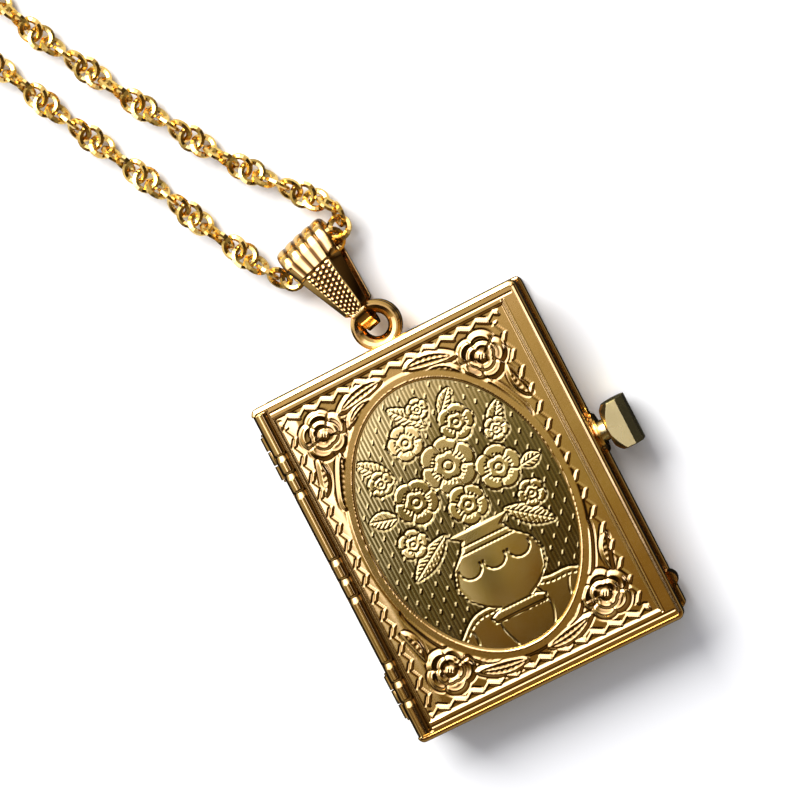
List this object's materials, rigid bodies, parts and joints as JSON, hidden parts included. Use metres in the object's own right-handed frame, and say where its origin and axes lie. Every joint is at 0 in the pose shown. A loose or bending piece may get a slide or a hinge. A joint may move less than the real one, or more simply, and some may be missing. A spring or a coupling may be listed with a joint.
{
  "type": "book locket necklace",
  "caption": "Gold book-shaped locket with a hinged relief cover and a push button, on a fluted bail and a twisted ring chain.",
  "frame": {"origin": "middle of the flat back of the locket, on the surface that it lies on", "axes": "+X to the fore edge and its push button, +Y to the ring, bail and chain, +Z out of the front cover"},
  "size_m": [0.1253, 0.2232, 0.006],
  "materials": {
    "case_gold": "polished gold plate",
    "cover_gold": "polished and engraved gold plate",
    "bail_gold": "polished gold plate with a beaded field",
    "chain_gold": "bright gold plate",
    "button_gold": "polished pale gold plate",
    "pin_gold": "satin gold plate"
  },
  "bodies": {
    "case": {"back_case": "case_gold", "hinge_pin_upper": "pin_gold", "hinge_pin_lower": "pin_gold", "bail": "bail_gold", "chain": "chain_gold", "clasp": "chain_gold"},
    "cover": {"cover": "cover_gold"},
    "button": {"button": "button_gold"}
  },
  "joints": [
    {"name": "cover_hinge", "type": "hinge", "parent": "case", "child": "cover", "pos_m": [-0.0125, 0, 0.0047], "axis": [0, -1, 0], "range_deg": [0, 150]},
    {"name": "button_push", "type": "slide", "parent": "case", "child": "button", "axis": [1, 0, 0], "range_m": [-0.0005, 0], "stiffness_N_per_m": 200, "springref_m": 0.0003}
  ]
}
